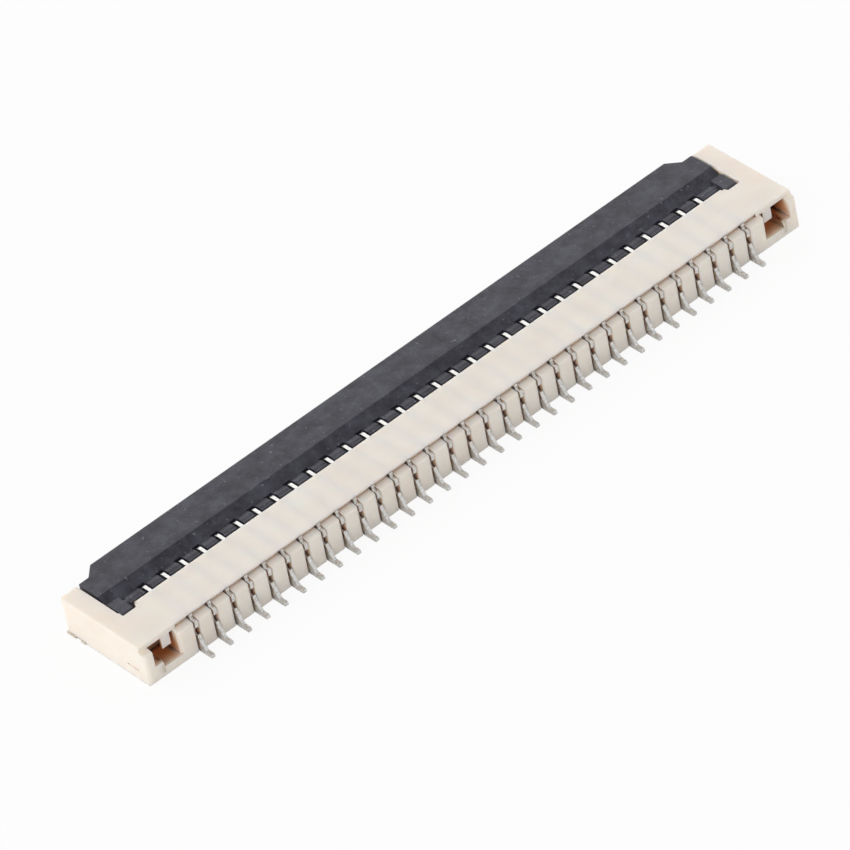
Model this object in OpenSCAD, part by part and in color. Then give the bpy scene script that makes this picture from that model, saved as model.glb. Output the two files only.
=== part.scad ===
// Flat-cable board connector with a flip actuator, drawn closed.
// X runs along the row of contacts, -Y is the solder-tail side, +Y the cable side,
// and Z = 0 is the board. Sizes in Y count from the rear edge of the top plate,
// and in_place() then moves every piece so that the whole part is centred on X = Y = 0.

/* [Row] */
// Number of contacts
ways = 32; // [4:1:40]
// Distance between neighbouring contacts
pitch = 1.0; // [0.9:0.05:1.5]
// From the last contact's centre to the housing's end face
end_margin = 2.8; // [2.8:0.05:3.4]

/* [Housing] */
// Height of the top plate above the board
height = 1.9; // [1.8:0.05:2.3]
// Top plate, rear edge to front edge
plate_depth = 2.42; // [2.2:0.02:2.8]
// Thickness of the top plate
plate_thickness = 0.45; // [0.4:0.01:0.5]
// How far the ribs stand out behind the top plate
step_depth = 0.34; // [0.2:0.02:0.5]
// Drop from the top plate to the ledge over the ribs
step_drop = 0.24; // [0.2:0.01:0.3]
// Fall of the ledge from the top plate to its rear edge
ledge_fall = 0.06; // [0:0.01:0.1]
// Depth of the rib comb in front of the plate's rear edge, up to the cable stop
comb_depth = 1.2; // [1.1:0.05:1.4]
// Reach of the two arms in front of the plate's rear edge
arm_reach = 5.06; // [4.9:0.02:5.4]
// Thickness of an arm
arm_width = 0.95; // [0.9:0.01:1.1]
// Thickness of the floor under the cable
floor_thickness = 0.5; // [0.45:0.01:0.6]
// How far the floor ends behind the arms' front faces
floor_setback = 0.26; // [0.1:0.02:0.5]
// Length of the cable's lead-in on the floor's front edge
lead_in_length = 0.3; // [0.2:0.02:0.4]
// Height of the cable's lead-in
lead_in_height = 0.2; // [0.1:0.01:0.3]
// Radius of the outer upright corners
corner_radius = 0.18; // [0.05:0.01:0.2]
// Radius of the edges around the top
edge_radius = 0.1; // [0.04:0.01:0.14]
// Radius of the top plate's front edge
plate_edge_radius = 0.16; // [0.06:0.01:0.2]
// Depth of the undercut behind the ribs, below the plate's rear edge
undercut_depth = 0.12; // [0.08:0.01:0.16]
// Thickness of the lip above the undercut
undercut_lip = 0.06; // [0.05:0.01:0.08]
// Radius of the ribs' upright edges
rib_radius = 0.07; // [0.04:0.01:0.1]
// Radius of the ribs' foot on the board
rib_foot_radius = 0.12; // [0.04:0.01:0.16]
// Radius of the ribs' head on the ledge
rib_head_radius = 0.1; // [0.04:0.01:0.14]
// Depth of the comb's open slots in front of the plate's rear edge
slot_depth = 0.45; // [0.3:0.05:0.6]
// Width of the saddle under the shaft's journal, in front of the axis
saddle_width = 0.36; // [0.3:0.02:0.44]
// Slant of the end recess's inner side
recess_slant = 0.15; // [0:0.01:0.2]

/* [End slit] */
// Start of the fine slit in the end face, in front of the plate's rear edge
slit_start = 0.26; // [0:0.02:0.5]
// Length of the slit
slit_length = 0.75; // [0.4:0.05:1.0]
// Height of the slit's lower edge above the board
slit_bottom = 0.53; // [0.4:0.01:0.7]
// Height of the slit
slit_height = 0.08; // [0.05:0.01:0.12]
// Depth of the slit
slit_depth = 0.05; // [0.03:0.01:0.12]

/* [Cable] */
// Margin of the cable beyond its outer conductors' centres
cable_margin = 1.0; // [0.8:0.05:1.1]
// Thickness of the cable that the contacts grip
cable_thickness = 0.3; // [0.2:0.01:0.35]

/* [Contacts] */
// Thickness of the contacts' sheet
sheet = 0.16; // [0.14:0.01:0.22]
// Height of a solder tail
tail_height = 0.21; // [0.15:0.01:0.3]
// Reach of a solder tail behind the top plate
tail_reach = 1.08; // [0.9:0.02:1.4]
// Height of the upper beam
beam_height = 0.22; // [0.18:0.01:0.26]
// Outer radius of the hook over the shaft
hook_radius = 0.34; // [0.32:0.01:0.36]
// Thickness of the hook
hook_thickness = 0.16; // [0.14:0.01:0.18]
// Height of the lower beam
lower_beam_height = 0.24; // [0.18:0.01:0.26]
// Reach of the lower beam past the shaft
lower_beam_lead = 1.3; // [1.0:0.05:1.5]
// Fall of the lower beam's top below the floor's top
lower_beam_drop = 0.08; // [0.04:0.01:0.12]
// How far the contact point stands in the cable's space
cable_squeeze = 0.08; // [0.04:0.01:0.1]
// Half the length of the rise that carries the contact point
bump_half = 0.4; // [0.3:0.02:0.5]
// Depth of the fork's throat from the plate's rear edge
throat_depth = 0.9; // [0.7:0.05:1.0]
// Depth of the notch in the contact's rear edge
rear_notch = 0.3; // [0.1:0.01:0.34]
// Lower end of the notch above the board
notch_bottom = 0.9; // [0.84:0.01:0.96]
// Height of the notch's mouth
notch_height = 0.38; // [0.2:0.02:0.42]
// Depth of the shoulder that stands up in the undercut
shoulder_depth = 0.12; // [0.1:0.01:0.16]
// How far the shoulder stands out behind the plate's rear edge
shoulder_out = 0.06; // [0.02:0.01:0.12]
// Drop from the plate's top to the shoulder's top
shoulder_drop = 0.08; // [0.07:0.01:0.12]
// Height at which the contact's rear edge slants off to the tail
tail_bend = 0.78; // [0.6:0.02:0.9]
// Length of that slant
tail_slant = 0.38; // [0.3:0.02:0.5]
// Width of a slot between two ribs
slot_width = 0.28; // [0.24:0.01:0.4]

/* [Actuator] */
// Distance of the shaft's axis in front of the top plate
axis_setback = 0.42; // [0.4:0.01:0.5]
// Distance from the shaft's axis to the actuator's outer edge
flap_reach = 2.78; // [2.4:0.02:3.0]
// Depth of the flap below its top
flap_thickness = 0.8; // [0.7:0.01:0.85]
// Width of the notch at each contact
notch_width = 0.38; // [0.34:0.01:0.45]
// Distance from the shaft's axis to the webs' rear face
web_back = 0.24; // [0.2:0.01:0.26]
// Radius of the web around the shaft
web_radius = 0.38; // [0.36:0.01:0.4]
// Height of the webs' top above the shaft's axis
web_rise = 0.32; // [0.28:0.01:0.34]
// Radius of the cam that presses on the cable
cam_radius = 0.56; // [0.52:0.01:0.6]
// Reach of the cam in front of the shaft's axis
cam_front = 0.45; // [0.4:0.01:0.5]
// Foot of the sloping face, in front of the shaft's axis
slope_foot = 0.29; // [0.26:0.01:0.34]
// Height of the slope's foot above the shaft's axis
slope_foot_rise = 0.22; // [0.2:0.01:0.26]
// Head of the sloping face, in front of the shaft's axis
slope_head = 0.94; // [0.8:0.02:1.1]
// Width of the block at each end of the shaft
end_block_width = 0.6; // [0.5:0.02:0.62]
// Reach of the end block behind the shaft's axis
end_block_back = 0.64; // [0.55:0.01:0.66]
// Reach of the end block in front of the shaft's axis
end_block_front = 0.36; // [0.3:0.02:0.5]
// Drop from the plate's top to the end block's top
end_block_drop = 0.1; // [0:0.02:0.16]
// Radius of the shaft's journal in its saddle
journal_radius = 0.42; // [0.4:0.01:0.44]
// How far the corners of the outer edge are set back
lug_setback = 0.6; // [0.3:0.02:0.7]
// Width of each set-back corner, up to the slant
lug_width = 0.55; // [0.4:0.05:0.8]

/* [End pockets] */
// Width of the solid block between the last slot and the pocket
end_rib = 0.85; // [0.7:0.01:0.9]
// Radius of that block's upright edge at the pocket
end_rib_radius = 0.18; // [0.05:0.01:0.25]
// Thickness of the housing's end wall
end_wall = 0.44; // [0.3:0.01:0.5]
// Depth of the pocket in front of the plate's rear edge
pocket_depth = 0.95; // [0.6:0.05:1.0]
// Height of the raised part of the pocket's floor above the cable's floor
pocket_step = 0.3; // [0.2:0.02:0.4]
// Distance of the tab from the pocket's inner side
tab_offset = 0.18; // [0.1:0.02:0.3]
// Width of the tab that hangs in the pocket
tab_width = 0.46; // [0.4:0.02:0.6]
// Height of the tab's lower edge above the board
tab_bottom = 1.08; // [0.9:0.02:1.2]
// Thickness of the tab
tab_thickness = 0.12; // [0.08:0.01:0.2]

/* [Fitting nails] */
// Thickness of the nails' sheet
nail_sheet = 0.15; // [0.12:0.01:0.25]
// Distance of the blade from the pocket's inner side
blade_offset = 1.0; // [0.8:0.02:1.1]
// Height of the blade's lower edge in the housing
blade_bottom = 0.24; // [0.18:0.01:0.3]
// Radius of the blade's rear upper corner
blade_corner = 0.2; // [0.1:0.02:0.28]
// How far the nail ends behind the arm's front face
nail_setback = 0.04; // [0.02:0.01:0.1]
// Length of the solder foot along the arm
foot_length = 1.2; // [1.0:0.05:1.4]
// Thickness of the solder foot
foot_thickness = 0.12; // [0.1:0.01:0.2]
// How far the foot stands out of the end face
foot_out = 0.04; // [0.02:0.01:0.3]
// Width of the notch in the foot's outer edge
foot_notch = 0.34; // [0.2:0.02:0.5]
// Distance of the notch from the foot's rear end
foot_notch_start = 0.29; // [0.2:0.01:0.4]

/* [Clearances] */
// Gap of the actuator to the arms and the end recesses
flap_gap = 0.08; // [0.04:0.01:0.12]
// Running gap of a hook or a saddle to the shaft
shaft_gap = 0.04; // [0.02:0.01:0.05]
// Gap of the cable to the sides of its slot
cable_gap = 0.05; // [0.02:0.01:0.1]
// Gap around a beam in its slot
beam_gap = 0.03; // [0.02:0.01:0.05]

/* [Hidden] */
function digits(n) = n < 10 ? str("0", n) : str(n);
CONTACTS = [for (k = [1 : ways]) str("contact_", digits(k))];

cut = 0.5;
row_half = (ways - 1) * pitch / 2;
half_length = row_half + end_margin;
arm_inner = half_length - arm_width;
cable_half = row_half + cable_margin + cable_gap;
rear = -step_depth;
ledge = height - step_drop;
plate_under = height - plate_thickness;

// Upper beam: just under the roof of its slot, which leaves a third of the plate above it
beam_top = height - 0.4 * plate_thickness;
slot_roof = beam_top + beam_gap;
beam_bottom = beam_top - beam_height;
lower_beam_top = floor_thickness - lower_beam_drop;
lower_beam_bottom = lower_beam_top - lower_beam_height;
contact_head = ledge - ledge_fall;
tail_round = 0.45 * tail_height;
floor_reach = arm_reach - floor_setback;

// Hinge: the hooks' outside is level with the beams' top
axis_y = plate_depth + axis_setback;
axis_z = beam_top - hook_radius;
hook_bore = hook_radius - hook_thickness;
shaft_radius = hook_bore - shaft_gap;
notch_radius = hook_radius + shaft_gap;
neck_radius = web_radius - shaft_gap;
contact_top = axis_z - cam_radius - cable_thickness + cable_squeeze;
flap_half = arm_inner - flap_gap;
flap_top = height;
flap_outer = axis_y + flap_reach;
cam_half = row_half + cable_margin;
block_inner = flap_half - end_block_width;
block_top = height - end_block_drop;
block_sweep = end_block_back + 0.08;
recess_back = axis_y - block_sweep - flap_gap;
cheek_top = axis_z + web_rise - flap_thickness + 0.05;

pocket_inner = row_half + slot_width / 2 + end_rib;
undercut_half = pocket_inner - end_rib_radius;
pocket_outer = half_length - end_wall;
blade_x = pocket_inner + blade_offset;
blade_top = floor_thickness + pocket_step;
blade_front = arm_reach - nail_setback;
foot_back = blade_front - foot_length;

y_mid = (flap_outer - tail_reach) / 2;

// ---- helpers ----

function unit(v) = v / norm(v);

// The corner at b of the path a-b-c, rounded to the radius b[2]
function round_corner(a, b, c, steps = 4) =
    let (p = [b[0], b[1]], u = unit([a[0], a[1]] - p), v = unit([c[0], c[1]] - p))
    let (half = acos(u * v) / 2, r = b[2], centre = p + r / sin(half) * unit(u + v))
    [for (i = [0 : steps])
        let (t = (90 - half) * (2 * i / steps - 1))
        centre - r * cos(t) * unit(u + v) + r * sin(t) * unit(v - u)];

// A closed outline from points [y, z, radius]
function rounded(points) =
    let (n = len(points))
    [for (i = [0 : n - 1])
        each (points[i][2] > 0
            ? round_corner(points[(i + n - 1) % n], points[i], points[(i + 1) % n])
            : [[points[i][0], points[i][1]]])];

// Sets a drawing in Y and Z upright and gives it a width along the row
module along_row(width) rotate([90, 0, 90]) linear_extrude(width, center = true) children();

// Sets a drawing in X and Z upright and runs it over the whole depth
module along_depth() translate([0, arm_reach + cut, 0]) rotate([90, 0, 0])
    linear_extrude(arm_reach + step_depth + 2 * cut) children();

// The same as along_row, from one X to another
module row_span(from, to) translate([(from + to) / 2, 0, 0]) along_row(to - from) children();

// Box from one corner to the opposite one
module block(low, high) translate(low) cube(high - low);

module both_ends() {
    children();
    mirror([1, 0, 0]) children();
}

module at_contacts() for (k = [1 : ways]) translate([contact_x(k), 0, 0]) children();

module in_place() translate([0, -y_mid, 0]) children();

module at_axis() translate([axis_y, axis_z]) children();

function contact_x(k) = (k - (ways + 1) / 2) * pitch;

// ---- housing ----

// Top plate with a soft front edge, over the whole length
module top_plate() along_row(2 * half_length) polygon(rounded([
    [0, plate_under, 0], [plate_depth, plate_under, 0.03],
    [plate_depth, height, plate_edge_radius], [0, height, 0.04]]));

// Comb block with the sloping ledge behind the top plate
module comb_block() along_row(2 * half_length) polygon(rounded([
    [rear, 0, rib_foot_radius], [comb_depth, 0, 0], [comb_depth, height - edge_radius, 0],
    [0, height - edge_radius, 0], [0, ledge, 0], [rear, ledge - ledge_fall, rib_head_radius]]));

// Floor with a lead-in for the cable
module cable_floor() along_row(2 * half_length - arm_width) polygon(rounded([
    [comb_depth - 0.1, 0, 0], [floor_reach, 0, 0.05],
    [floor_reach, floor_thickness - lead_in_height, 0.05],
    [floor_reach - lead_in_length, floor_thickness, 0], [comb_depth - 0.1, floor_thickness, 0]]));

// Arm beside the flap; its outer edges are rounded with the whole housing's
module arm() intersection() {
    row_span(arm_inner, half_length) polygon(rounded([
        [0, 0, 0], [arm_reach, 0, 0.05], [arm_reach, height, edge_radius], [0, height, 0]]));
    along_depth() polygon(rounded([
        [arm_inner, 0, 0], [half_length, 0, 0], [half_length, height, 0],
        [arm_inner, height, edge_radius]]));
}

// Side wall of the cable slot; in front of the plate it is low, to pass under the flap
module cheek() {
    block([cable_half, comb_depth - 0.1, 0], [arm_inner + 0.1, recess_back, height - 2 * edge_radius]);
    block([cable_half, comb_depth - 0.1, 0], [arm_inner + 0.1, floor_reach, cheek_top]);
}

// Room that the end block sweeps, with the saddle of the journal left standing
module sweep_room() row_span(cable_half - 0.1, arm_inner) difference() {
    at_axis() circle(block_sweep + flap_gap, $fn = 64);
    difference() {
        translate([axis_y - flap_gap, 0]) square([saddle_width, cheek_top]);
        at_axis() circle(journal_radius + shaft_gap / 2, $fn = 48);
    }
}

// Recess in the plate's front edge for the end block, with one slanted side
module end_recess() translate([0, 0, cheek_top]) linear_extrude(height) polygon([
    [pocket_inner, plate_depth + cut], [pocket_inner, plate_depth],
    [pocket_inner + recess_slant, recess_back], [arm_inner, recess_back], [arm_inner, plate_depth + cut]]);

// Plan of a slot, with the ribs' rounded edges at its mouth
module slot_plan() {
    side = slot_width / 2;
    mouth = side + 2 * rib_radius;
    polygon(rounded([
        [-mouth, rear - cut, 0], [mouth, rear - cut, 0], [mouth, rear, 0], [side, rear, rib_radius],
        [side, slot_depth, 0], [-side, slot_depth, 0], [-side, rear, rib_radius], [-mouth, rear, 0]]));
}

// Slot of one contact: open at the rear, tight in the middle, open to the cable in front
module contact_slot() {
    translate([0, 0, -cut]) linear_extrude(ledge + cut) slot_plan();
    along_row(sheet) translate([0, lower_beam_bottom - beam_gap])
        square([comb_depth + 0.1, slot_roof - lower_beam_bottom + beam_gap]);
    along_row(sheet + 2 * beam_gap) {
        translate([0, beam_bottom - beam_gap])
            square([plate_depth + cut, slot_roof - beam_bottom + beam_gap]);
        translate([comb_depth, lower_beam_bottom - beam_gap])
            square([axis_y + lower_beam_lead + 0.1 - comb_depth, floor_thickness]);
    }
}

// Undercut below the plate's rear edge, over the ribs
module undercut() block([-undercut_half, -cut, ledge],
    [undercut_half, undercut_depth, height - undercut_lip]);

// Pocket at the end of the comb, its floor in two levels, with the tab that hangs in it
module end_pocket() difference() {
    union() {
        block([pocket_inner, rear - cut, floor_thickness], [blade_x + nail_sheet / 2, pocket_depth, ledge]);
        block([blade_x, rear - cut, floor_thickness + pocket_step], [pocket_outer, pocket_depth, ledge]);
        block([pocket_inner, rear - cut, ledge - cut], [pocket_outer, 0, height + cut]);
        translate([pocket_inner - end_rib_radius, rear, floor_thickness])
            linear_extrude(ledge - floor_thickness) difference() {
                translate([0, -cut]) square([end_rib_radius + cut, end_rib_radius + cut]);
                translate([0, end_rib_radius]) circle(end_rib_radius, $fn = 32);
            }
    }
    block([pocket_inner + tab_offset, 0, tab_bottom],
          [pocket_inner + tab_offset + tab_width, tab_thickness, height]);
}

// Seat of the nail: the blade's slot, and the foot's recess under the arm
module nail_seat() {
    block([blade_x - nail_sheet / 2, rear - cut, blade_bottom],
          [blade_x + nail_sheet / 2, blade_front, floor_thickness]);
    block([blade_x - nail_sheet / 2, foot_back, -cut], [blade_x + nail_sheet / 2, blade_front, blade_bottom]);
    block([blade_x, foot_back, -cut], [half_length + cut, blade_front, foot_thickness]);
}

// Fine slit in the end face
module end_slit() block([half_length - slit_depth, slit_start, slit_bottom],
    [half_length + cut, slit_start + slit_length, slit_bottom + slit_height]);

// Outside of the housing: rounded upright corners and rounded top edges
module housing_outline() {
    linear_extrude(height) polygon(rounded([
        [-half_length, rear, corner_radius], [half_length, rear, corner_radius],
        [half_length, arm_reach, corner_radius], [-half_length, arm_reach, corner_radius]]));
}

module end_edges() along_depth() polygon(rounded([
    [-half_length, 0, 0.03], [half_length, 0, 0.03],
    [half_length, height, edge_radius], [-half_length, height, edge_radius]]));

module housing() color("ivory") in_place() difference() {
    intersection() {
        union() {
            top_plate();
            comb_block();
            cable_floor();
            both_ends() {
                arm();
                cheek();
            }
        }
        housing_outline();
        end_edges();
    }
    at_contacts() contact_slot();
    undercut();
    both_ends() {
        sweep_room();
        end_recess();
        end_pocket();
        nail_seat();
        end_slit();
    }
}

// ---- contacts ----

// Rear edge and solder tail, the two beams of the fork, and the contact point under the cam
module fork_outline() polygon(rounded([
    [-tail_reach, 0, tail_round],
    [rear + 0.12, 0, 0.05],
    [rear + 0.24, lower_beam_bottom, 0.05],
    [axis_y + lower_beam_lead, lower_beam_bottom, 0.04],
    [axis_y + lower_beam_lead, lower_beam_top - 0.06, 0.04],
    [axis_y + bump_half, lower_beam_top, 0.1],
    [axis_y, contact_top, 0.12],
    [axis_y - bump_half, lower_beam_top, 0.1],
    [throat_depth, lower_beam_top, 0.12],
    [throat_depth, beam_bottom, 0.12],
    [axis_y, beam_bottom, 0],
    [axis_y, beam_top, 0],
    [shoulder_depth - shoulder_out, beam_top, 0.02],
    [shoulder_depth - shoulder_out, height - shoulder_drop, 0.05],
    [-shoulder_out, height - shoulder_drop, 0.05],
    [-shoulder_out, contact_head, 0.03],
    [rear, contact_head, 0.06],
    [rear, notch_bottom + notch_height, 0.02],
    [rear + rear_notch, notch_bottom + notch_height - 0.05, 0.03],
    [rear + rear_notch, notch_bottom - 0.1, 0.03],
    [rear, notch_bottom, 0.03],
    [rear - 0.02, tail_bend, 0.1],
    [rear - tail_slant, tail_height, 0.1],
    [-tail_reach, tail_height, tail_round]]));

// Hook over the shaft, with a round tip at 50 degrees above the front
module hook() {
    tip = 50;
    middle = (hook_radius + hook_bore) / 2;
    difference() {
        circle(hook_radius, $fn = 48);
        circle(hook_bore, $fn = 48);
        polygon([[0, 0], [cos(tip), sin(tip)], [1, -1], [-1, -1], [-1, 0]]);
    }
    translate(middle * [cos(tip), sin(tip)]) circle(hook_thickness / 2, $fn = 24);
}

module contact(k) color("silver") in_place() translate([contact_x(k), 0, 0]) along_row(sheet) {
    difference() {
        fork_outline();
        at_axis() circle(hook_radius - hook_thickness / 2, $fn = 48);
    }
    at_axis() hook();
}

// ---- actuator ----

// Flap with the sloping face that clears the top plate when it stands open
module flap_outline() polygon(rounded([
    [axis_y, flap_top - flap_thickness, 0],
    [flap_outer, flap_top - flap_thickness, 0.15],
    [flap_outer, flap_top, 0.08],
    [axis_y + slope_head, flap_top, 0.05],
    [axis_y + slope_foot, axis_z + slope_foot_rise, 0],
    [axis_y, axis_z + slope_foot_rise, 0]]));

// Web between two notches, with the cam below it
module web_outline() at_axis() intersection() {
    union() {
        circle(web_radius, $fn = 48);
        intersection() {
            circle(cam_radius, $fn = 64);
            translate([-web_back, -cam_radius]) square([web_back + cam_front, cam_radius - 0.1]);
        }
    }
    translate([-web_back, -cam_radius]) square([2 * cam_radius, cam_radius + web_rise]);
}

// Block that closes the recess in the plate's edge, and the journal below it
module end_block_outline() {
    at_axis() intersection() {
        circle(block_sweep, $fn = 64);
        translate([-end_block_back, 0.1])
            square([end_block_back + end_block_front, block_top - axis_z - 0.1]);
    }
    at_axis() circle(journal_radius, $fn = 48);
}

// What is cut out around a hook, down to the round shaft
module notch_outline() at_axis() difference() {
    union() {
        circle(notch_radius, $fn = 48);
        translate([-notch_radius, 0]) square([2 * notch_radius, cut]);
    }
    circle(shaft_radius, $fn = 48);
}

// Plan of the actuator: its outer edge is set back at both ends
module flap_plan() {
    lug = flap_half - lug_width;
    polygon(rounded([
        [-flap_half, 0, 0], [flap_half, 0, 0],
        [flap_half, flap_outer - lug_setback, 0.06], [lug, flap_outer - lug_setback, 0.05],
        [lug - lug_setback, flap_outer, 0.1], [lug_setback - lug, flap_outer, 0.1],
        [-lug, flap_outer - lug_setback, 0.05], [-flap_half, flap_outer - lug_setback, 0.06]]));
}

module actuator() color("dimgray") in_place() difference() {
    intersection() {
        union() {
            along_row(2 * flap_half) flap_outline();
            along_row(2 * cam_half) web_outline();
            along_row(2 * flap_half) at_axis() circle(neck_radius, $fn = 48);
            both_ends() row_span(block_inner, flap_half) end_block_outline();
        }
        linear_extrude(height + cut) flap_plan();
    }
    at_contacts() along_row(notch_width) notch_outline();
}

// ---- fitting nails ----

// Blade: it lines the pocket's side behind, and reaches down to the board in front
module blade_outline() polygon(rounded([
    [rear + 0.02, blade_bottom, 0], [foot_back, blade_bottom, 0], [foot_back, 0, 0],
    [blade_front, 0, 0], [blade_front, floor_thickness, 0], [pocket_depth, floor_thickness, 0],
    [pocket_depth, blade_top, 0], [rear + 0.02, blade_top, blade_corner]]));

// Upright blade in the end wall, and the foot bent out under the arm
module fitting_nail() color("lightgray") in_place() difference() {
    union() {
        translate([blade_x, 0, 0]) along_row(nail_sheet) blade_outline();
        block([blade_x, foot_back, 0], [half_length + foot_out, blade_front, foot_thickness]);
    }
    block([half_length - foot_out, foot_back + foot_notch_start, -cut],
          [half_length + cut, foot_back + foot_notch_start + foot_notch, cut]);
}

housing();
actuator();
for (k = [1 : ways]) contact(k);
mirror([1, 0, 0]) fitting_nail();  // fitting_nail_left
fitting_nail();  // fitting_nail_right
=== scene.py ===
# %% [markdown]
# # A flat-cable connector, seen from its solder side
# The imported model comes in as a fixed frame: every piece is already at its real place and
# size, in metres. This script gives each piece its finish, puts the part on a pale table,
# and sets the lamps and the camera.

# %% Load the frame
import math

import bpy
from mathutils import Matrix, Vector


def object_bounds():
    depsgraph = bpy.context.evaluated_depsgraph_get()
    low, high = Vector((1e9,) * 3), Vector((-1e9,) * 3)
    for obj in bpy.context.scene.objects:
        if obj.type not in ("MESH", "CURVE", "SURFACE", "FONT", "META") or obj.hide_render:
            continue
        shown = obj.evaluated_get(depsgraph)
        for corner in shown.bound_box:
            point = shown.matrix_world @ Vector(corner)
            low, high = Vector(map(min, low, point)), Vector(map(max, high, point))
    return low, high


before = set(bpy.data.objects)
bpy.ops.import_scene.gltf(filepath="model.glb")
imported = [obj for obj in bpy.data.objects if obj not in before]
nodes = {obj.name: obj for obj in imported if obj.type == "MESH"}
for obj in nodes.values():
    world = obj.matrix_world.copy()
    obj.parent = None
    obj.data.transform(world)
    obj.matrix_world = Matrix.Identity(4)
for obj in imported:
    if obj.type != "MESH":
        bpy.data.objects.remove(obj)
cad_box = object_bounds()
MM = 0.001
print("CAD box, mm:", [[round(x / MM, 2) for x in corner] for corner in cad_box])

# %% [markdown]
# Four kinds of piece make up the connector: the moulded housing, the moulded flip actuator,
# a row of stamped contacts, and the two stamped fitting nails at the ends.

# %% Sort the pieces
contacts = sorted(name for name in nodes if name.startswith("contact_"))
nails = sorted(name for name in nodes if name.startswith("fitting_nail"))
print(len(contacts), "contacts and", len(nails), "nails")

# %% [markdown]
# Colours are written as sRGB hex, as a colour picker shows them. Shaders work in linear
# light, so one function converts them.

# %% Colour helper
def srgb(code):
    """'#RRGGBB' as linear RGBA."""
    channels = [int(code[i:i + 2], 16) / 255 for i in (1, 3, 5)]
    linear = [c / 12.92 if c <= 0.04045 else ((c + 0.055) / 1.055) ** 2.4 for c in channels]
    return (*linear, 1.0)


print("middle grey in linear light:", [round(c, 3) for c in srgb("#808080")[:3]])

# %% [markdown]
# A material is a small graph. One function adds a node, sets its values and joins its
# inputs, so each finish below reads as a list of what is on the surface. Both polymers bend
# light alike.

# %% Node helper
POLYMER_IOR = 1.5


def add(tree, kind, inputs=None, **settings):
    """One node of that kind; inputs are values or other nodes' outputs, by socket name."""
    made = tree.nodes.new(kind)
    for name, value in settings.items():
        setattr(made, name, value)
    for name, value in (inputs or {}).items():
        if isinstance(value, bpy.types.NodeSocket):
            tree.links.new(value, made.inputs[name])
        else:
            made.inputs[name].default_value = value
    return made


def new_material(name):
    """An empty node material; returns it with its tree and its output node."""
    material = bpy.data.materials.new(name)
    material.use_nodes = True
    tree = material.node_tree
    tree.nodes.clear()
    return material, tree, tree.nodes.new("ShaderNodeOutputMaterial")


# %% [markdown]
# Patterns are drawn in object space, in metres, so a scale is one over the real size of a
# grain. A helper turns millimetres into that number. The mix node has sockets of one name for
# numbers, vectors and colours, so those for colours are picked by their place.

# %% Pattern helpers
MIX_FACTOR, MIX_FIRST, MIX_SECOND = 0, 6, 7
MIX_RESULT = 2


def per_mm(size):
    """Noise scale for features of that size in millimetres."""
    return 1 / (size * MM)


def grain(tree, size, detail=2.0, roughness=0.5):
    """Noise with grains of that size in millimetres."""
    where = add(tree, "ShaderNodeTexCoord").outputs["Object"]
    return add(tree, "ShaderNodeTexNoise", {
        "Vector": where, "Scale": per_mm(size), "Detail": detail, "Roughness": roughness,
    }).outputs["Fac"]


def shades(tree, factor, *stops):
    """Colour ramp from (position, hex) stops."""
    ramp = add(tree, "ShaderNodeValToRGB", {"Fac": factor})
    while len(ramp.color_ramp.elements) < len(stops):
        ramp.color_ramp.elements.new(0.5)
    for element, (position, code) in zip(ramp.color_ramp.elements, stops):
        element.position = position
        element.color = srgb(code)
    return ramp.outputs["Color"]


def mix_colours(tree, blend, factor, first, second):
    """Two colours mixed in that blend mode."""
    return add(tree, "ShaderNodeMix", {
        MIX_FACTOR: factor, MIX_FIRST: first, MIX_SECOND: second,
    }, data_type="RGBA", blend_type=blend).outputs[MIX_RESULT]


def relief(tree, height, depth):
    """Bump of that depth in millimetres."""
    return add(tree, "ShaderNodeBump", {
        "Height": height, "Distance": depth * MM, "Strength": 1.0,
    }).outputs["Normal"]


# %% [markdown]
# ## The ivory housing
# Such housings are moulded in liquid-crystal polymer or high-temperature nylon. The polymer
# flows in streaks, so the ivory is faintly cloudy, and its skin is satin. It lets light in a
# few tenths of a millimetre deep, which softens its small shadows. Painted shade and glow are
# laid into its colour: where a far shelter measure finds it enclosed, a wide pocket is painted
# orange-brown and a narrow groove grey to dark brown; a near shelter measure tells them apart.

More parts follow.
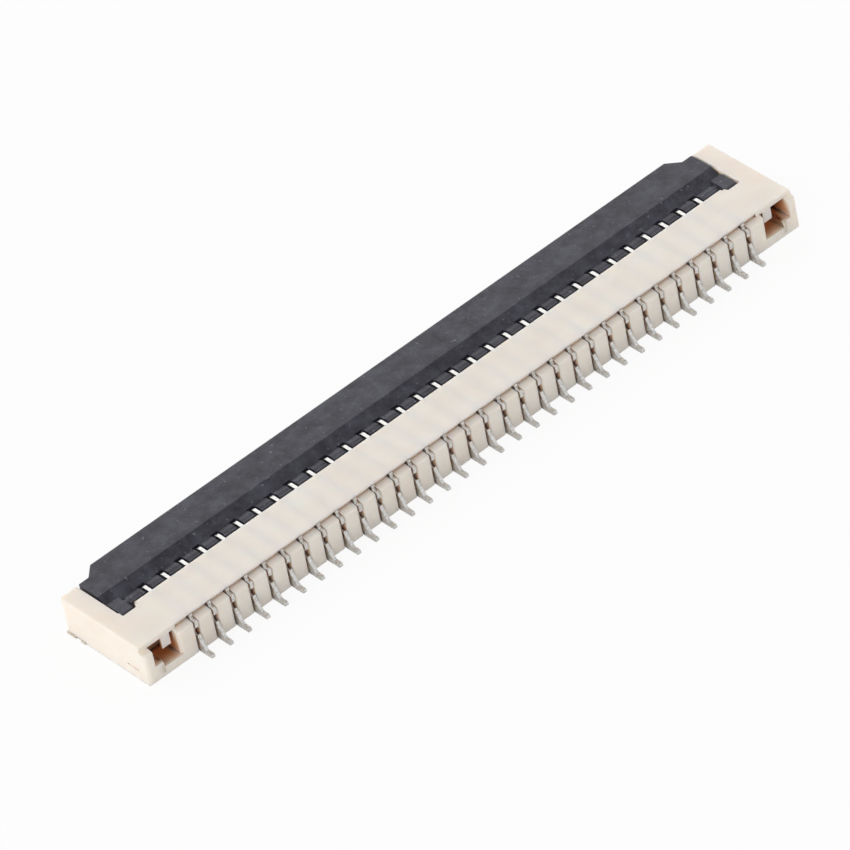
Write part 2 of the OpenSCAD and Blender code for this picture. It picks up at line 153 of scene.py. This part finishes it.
# %% Housing finish
def moulded_ivory_polymer():
    material, tree, out = new_material("ivory polymer, moulded")
    clouds = grain(tree, 1.4, detail=3.0)
    body = shades(tree, clouds, (0.3, "#F9E9DD"), (0.7, "#FEF1E6"))
    # Painted shade: the far and near shelter measures below darken and tint the ivory in its
    # hollows.
    far_shelter_for_painted_shade = add(tree, "ShaderNodeAmbientOcclusion", {"Distance": 1.8 * MM},
                  samples=16, only_local=True)
    near_shelter_for_painted_shade = add(tree, "ShaderNodeAmbientOcclusion", {"Distance": 0.36 * MM},
               samples=16, only_local=True)
    # Painted glow and shade for wide pockets, then painted shade for narrow grooves.
    pocket_painted_glow_and_shade = shades(tree, far_shelter_for_painted_shade.outputs["AO"], (0.05, "#E09458"), (0.24, "#D39A68"),
                    (0.42, "#E4C9A8"), (0.58, "#FFFFFF"))
    groove_painted_shade = shades(tree, far_shelter_for_painted_shade.outputs["AO"], (0.10, "#6E4226"), (0.27, "#E6DFD5"),
                    (0.48, "#FFFFFF"))
    pocket_or_groove_shade_choice = add(tree, "ShaderNodeMapRange", {
        "Value": near_shelter_for_painted_shade.outputs["AO"], "From Min": 0.56, "From Max": 0.90})
    painted_shade_tint = mix_colours(tree, "MIX", pocket_or_groove_shade_choice.outputs["Result"], groove_painted_shade, pocket_painted_glow_and_shade)
    ivory_with_painted_shade = mix_colours(tree, "MULTIPLY", 1.0, body, painted_shade_tint)
    surface = add(tree, "ShaderNodeBsdfPrincipled", {
        "Base Color": ivory_with_painted_shade,
        "Roughness": 0.42,
        "IOR": POLYMER_IOR,
        "Subsurface Weight": 0.6,
        "Subsurface Radius": (1.0, 0.78, 0.58),
        "Subsurface Scale": 0.5 * MM,
        "Normal": relief(tree, grain(tree, 0.09, detail=3.0), 0.0025),
    })
    tree.links.new(surface.outputs["BSDF"], out.inputs["Surface"])
    return material


ivory = moulded_ivory_polymer()
print("made", ivory.name)

# %% [markdown]
# ## The charcoal actuator
# The flip lock is moulded in a dark grey glass-filled nylon. The glass makes its skin mottled
# and a little rougher than the housing's, with a pale fibre end here and there.

# %% Actuator finish
def moulded_charcoal_nylon():
    material, tree, out = new_material("charcoal glass-filled nylon, moulded")
    mottle = grain(tree, 0.9, detail=5.0, roughness=0.75)
    body = shades(tree, mottle, (0.36, "#23222E"), (0.5, "#363540"), (0.64, "#464852"))
    fibres = shades(tree, grain(tree, 0.16, detail=1.0), (0.69, "#000000"), (0.77, "#606066"))
    surface = add(tree, "ShaderNodeBsdfPrincipled", {
        "Base Color": mix_colours(tree, "ADD", 1.0, body, fibres),
        "Roughness": 0.46,
        "IOR": POLYMER_IOR,
        "Normal": relief(tree, grain(tree, 0.12, detail=4.0, roughness=0.6), 0.012),
    })
    tree.links.new(surface.outputs["BSDF"], out.inputs["Surface"])
    return material


charcoal = moulded_charcoal_nylon()
print("made", charcoal.name)

# %% [markdown]
# ## The tin-plated contacts and nails
# They are stamped from phosphor bronze and plated with matt tin. The plating is pale grey
# and soft in its reflections, with small brighter and duller spots from the plating bath.

# %% Plating finish
def matt_tin_plating(name, light, dark):
    material, tree, out = new_material(name)
    spots = grain(tree, 0.12, detail=3.0, roughness=0.6)
    wear = add(tree, "ShaderNodeMapRange", {
        "Value": spots, "From Min": 0.35, "From Max": 0.65, "To Min": 0.26, "To Max": 0.46})
    surface = add(tree, "ShaderNodeBsdfPrincipled", {
        "Base Color": shades(tree, spots, (0.35, dark), (0.65, light)),
        "Metallic": 1.0,
        "Roughness": wear.outputs["Result"],
        "Normal": relief(tree, grain(tree, 0.08), 0.003),
    })
    tree.links.new(surface.outputs["BSDF"], out.inputs["Surface"])
    return material


contact_tin = matt_tin_plating("matt tin on bronze, contacts", "#F8F7F5", "#D4D2CE")
nail_tin = matt_tin_plating("matt tin on bronze, nails", "#EFE9DC", "#D3C9B6")
print("made", contact_tin.name, "and", nail_tin.name)

# %% [markdown]
# Each piece gets its finish. Its rounded edges are the solids' own, so nothing is added to its
# shape here.

# %% Dress the pieces
def dress(name, material):
    """Gives a CAD piece its finish."""
    piece = nodes[name]
    piece.data.materials.clear()
    piece.data.materials.append(material)


dress("housing", ivory)
dress("actuator", charcoal)
for name in contacts:
    dress(name, contact_tin)
for name in nails:
    dress(name, nail_tin)
print("dressed", len(nodes), "pieces")

# %% [markdown]
# ## The table
# The part lies on a white sheet. To the camera the sheet is mostly a plain white, and the rest
# is lit paper, so a faint share of the part's shadow stays on it.

# %% Table
SHEET_WHITENESS = 0.90
SHEET_GAP = 0.002 * MM


def white_sheet():
    material, tree, out = new_material("white paper sheet")
    paper = add(tree, "ShaderNodeBsdfDiffuse", {"Color": srgb("#FBFBFA")})
    white = add(tree, "ShaderNodeEmission", {"Color": (1, 1, 1, 1), "Strength": 1.0})
    rays = add(tree, "ShaderNodeLightPath")
    seen = add(tree, "ShaderNodeMath", {0: rays.outputs["Is Camera Ray"], 1: SHEET_WHITENESS},
               operation="MULTIPLY")
    both = add(tree, "ShaderNodeMixShader", {"Fac": seen.outputs["Value"]})
    tree.links.new(paper.outputs["BSDF"], both.inputs[1])
    tree.links.new(white.outputs["Emission"], both.inputs[2])
    tree.links.new(both.outputs["Shader"], out.inputs["Surface"])
    return material


low, high = cad_box
sheet_size = 60 * (high - low).length
bpy.ops.mesh.primitive_plane_add(size=sheet_size, location=(0, 0, low.z - SHEET_GAP))
table = bpy.context.object
table.name = "table"
table.data.materials.append(white_sheet())
print("table", round(sheet_size, 2), "m across")

# %% [markdown]
# ## Light
# A white tent, brighter behind the part than in front of it and darker overhead, so the
# level tops of the contacts mirror its bright side and the ribs stay greyer than the top
# plate. A broad lamp on the left makes the end face the brightest, and a weak one stands in
# front.

# %% World and lamps
world = bpy.data.worlds.new("white tent")
bpy.context.scene.world = world
world.use_nodes = True
world.node_tree.nodes.clear()
heading = add(world.node_tree, "ShaderNodeSeparateXYZ", {
    "Vector": add(world.node_tree, "ShaderNodeTexCoord").outputs["Generated"]})
rise = add(world.node_tree, "ShaderNodeMapRange", {
    "Value": heading.outputs["Z"], "From Min": 0.60, "From Max": 0.95,
    "To Min": 1.18, "To Max": 0.30}, interpolation_type="SMOOTHSTEP")
front_to_back = add(world.node_tree, "ShaderNodeMapRange", {
    "Value": heading.outputs["Y"], "From Min": -0.9, "From Max": 0.7,
    "To Min": 0.50, "To Max": 1.22}, interpolation_type="SMOOTHSTEP")
tent = add(world.node_tree, "ShaderNodeMath", {
    0: rise.outputs["Result"], 1: front_to_back.outputs["Result"]}, operation="MULTIPLY")
sky_rays = add(world.node_tree, "ShaderNodeLightPath")
sky_level = add(world.node_tree, "ShaderNodeMix", {
    "Factor": sky_rays.outputs["Is Camera Ray"], "A": tent.outputs["Value"], "B": 1.0},
    data_type="FLOAT")
sky = add(world.node_tree, "ShaderNodeBackground", {
    "Color": (1, 1, 1, 1), "Strength": sky_level.outputs["Result"]})
add(world.node_tree, "ShaderNodeOutputWorld", {"Surface": sky.outputs["Background"]})


def lamp(name, towards, level, softness):
    """A broad lamp in that direction; level 1 lights a facing white wall to white."""
    data = bpy.data.lights.new(name, "SUN")
    data.energy = level * math.pi
    data.angle = math.radians(softness)
    made = bpy.data.objects.new(name, data)
    made.rotation_euler = Vector(towards).to_track_quat("Z", "Y").to_euler()
    bpy.context.scene.collection.objects.link(made)


lamp("left soft box", (-0.86, -0.18, 0.45), 0.17, 50)
lamp("front soft box", (0.10, -0.75, 0.65), 0.05, 60)

# %% [markdown]
# ## Camera
# The part is seen from the solder side, from the left and above, with a long lens and the
# camera tipped to its side, so that the row climbs to the upper right.

# %% Camera
AZIMUTH, ELEVATION, ROLL = 33.86, 39.58, -12.05
AIM = Vector((-1.03, -0.36, 1.0)) * MM
DISTANCE = 378.2 * MM
FIELD_OF_VIEW = 5.337

turn, tip = math.radians(AZIMUTH), math.radians(ELEVATION)
forward = Vector((math.sin(turn) * math.cos(tip), math.cos(turn) * math.cos(tip), -math.sin(tip)))
level_right = Vector((math.cos(turn), -math.sin(turn), 0))
roll = math.radians(ROLL)
right = level_right * math.cos(roll) + level_right.cross(forward) * math.sin(roll)
up = right.cross(forward)
camera = bpy.data.objects.new("camera", bpy.data.cameras.new("camera"))
camera.data.lens_unit = "FOV"
camera.data.angle = math.radians(FIELD_OF_VIEW)
camera.data.clip_start = 0.1 * DISTANCE
camera.data.clip_end = 100 * DISTANCE
camera.matrix_world = Matrix.Translation(AIM - forward * DISTANCE) @ Matrix(
    (right, up, -forward)).transposed().to_4x4()
bpy.context.scene.collection.objects.link(camera)
bpy.context.scene.camera = camera
print("lens", round(camera.data.lens, 1), "mm at", round(DISTANCE / MM), "mm")

# %% [markdown]
# ## Close
# The colours are shown without a film curve.

# %% Colour view
bpy.context.scene.view_settings.view_transform = "Standard"
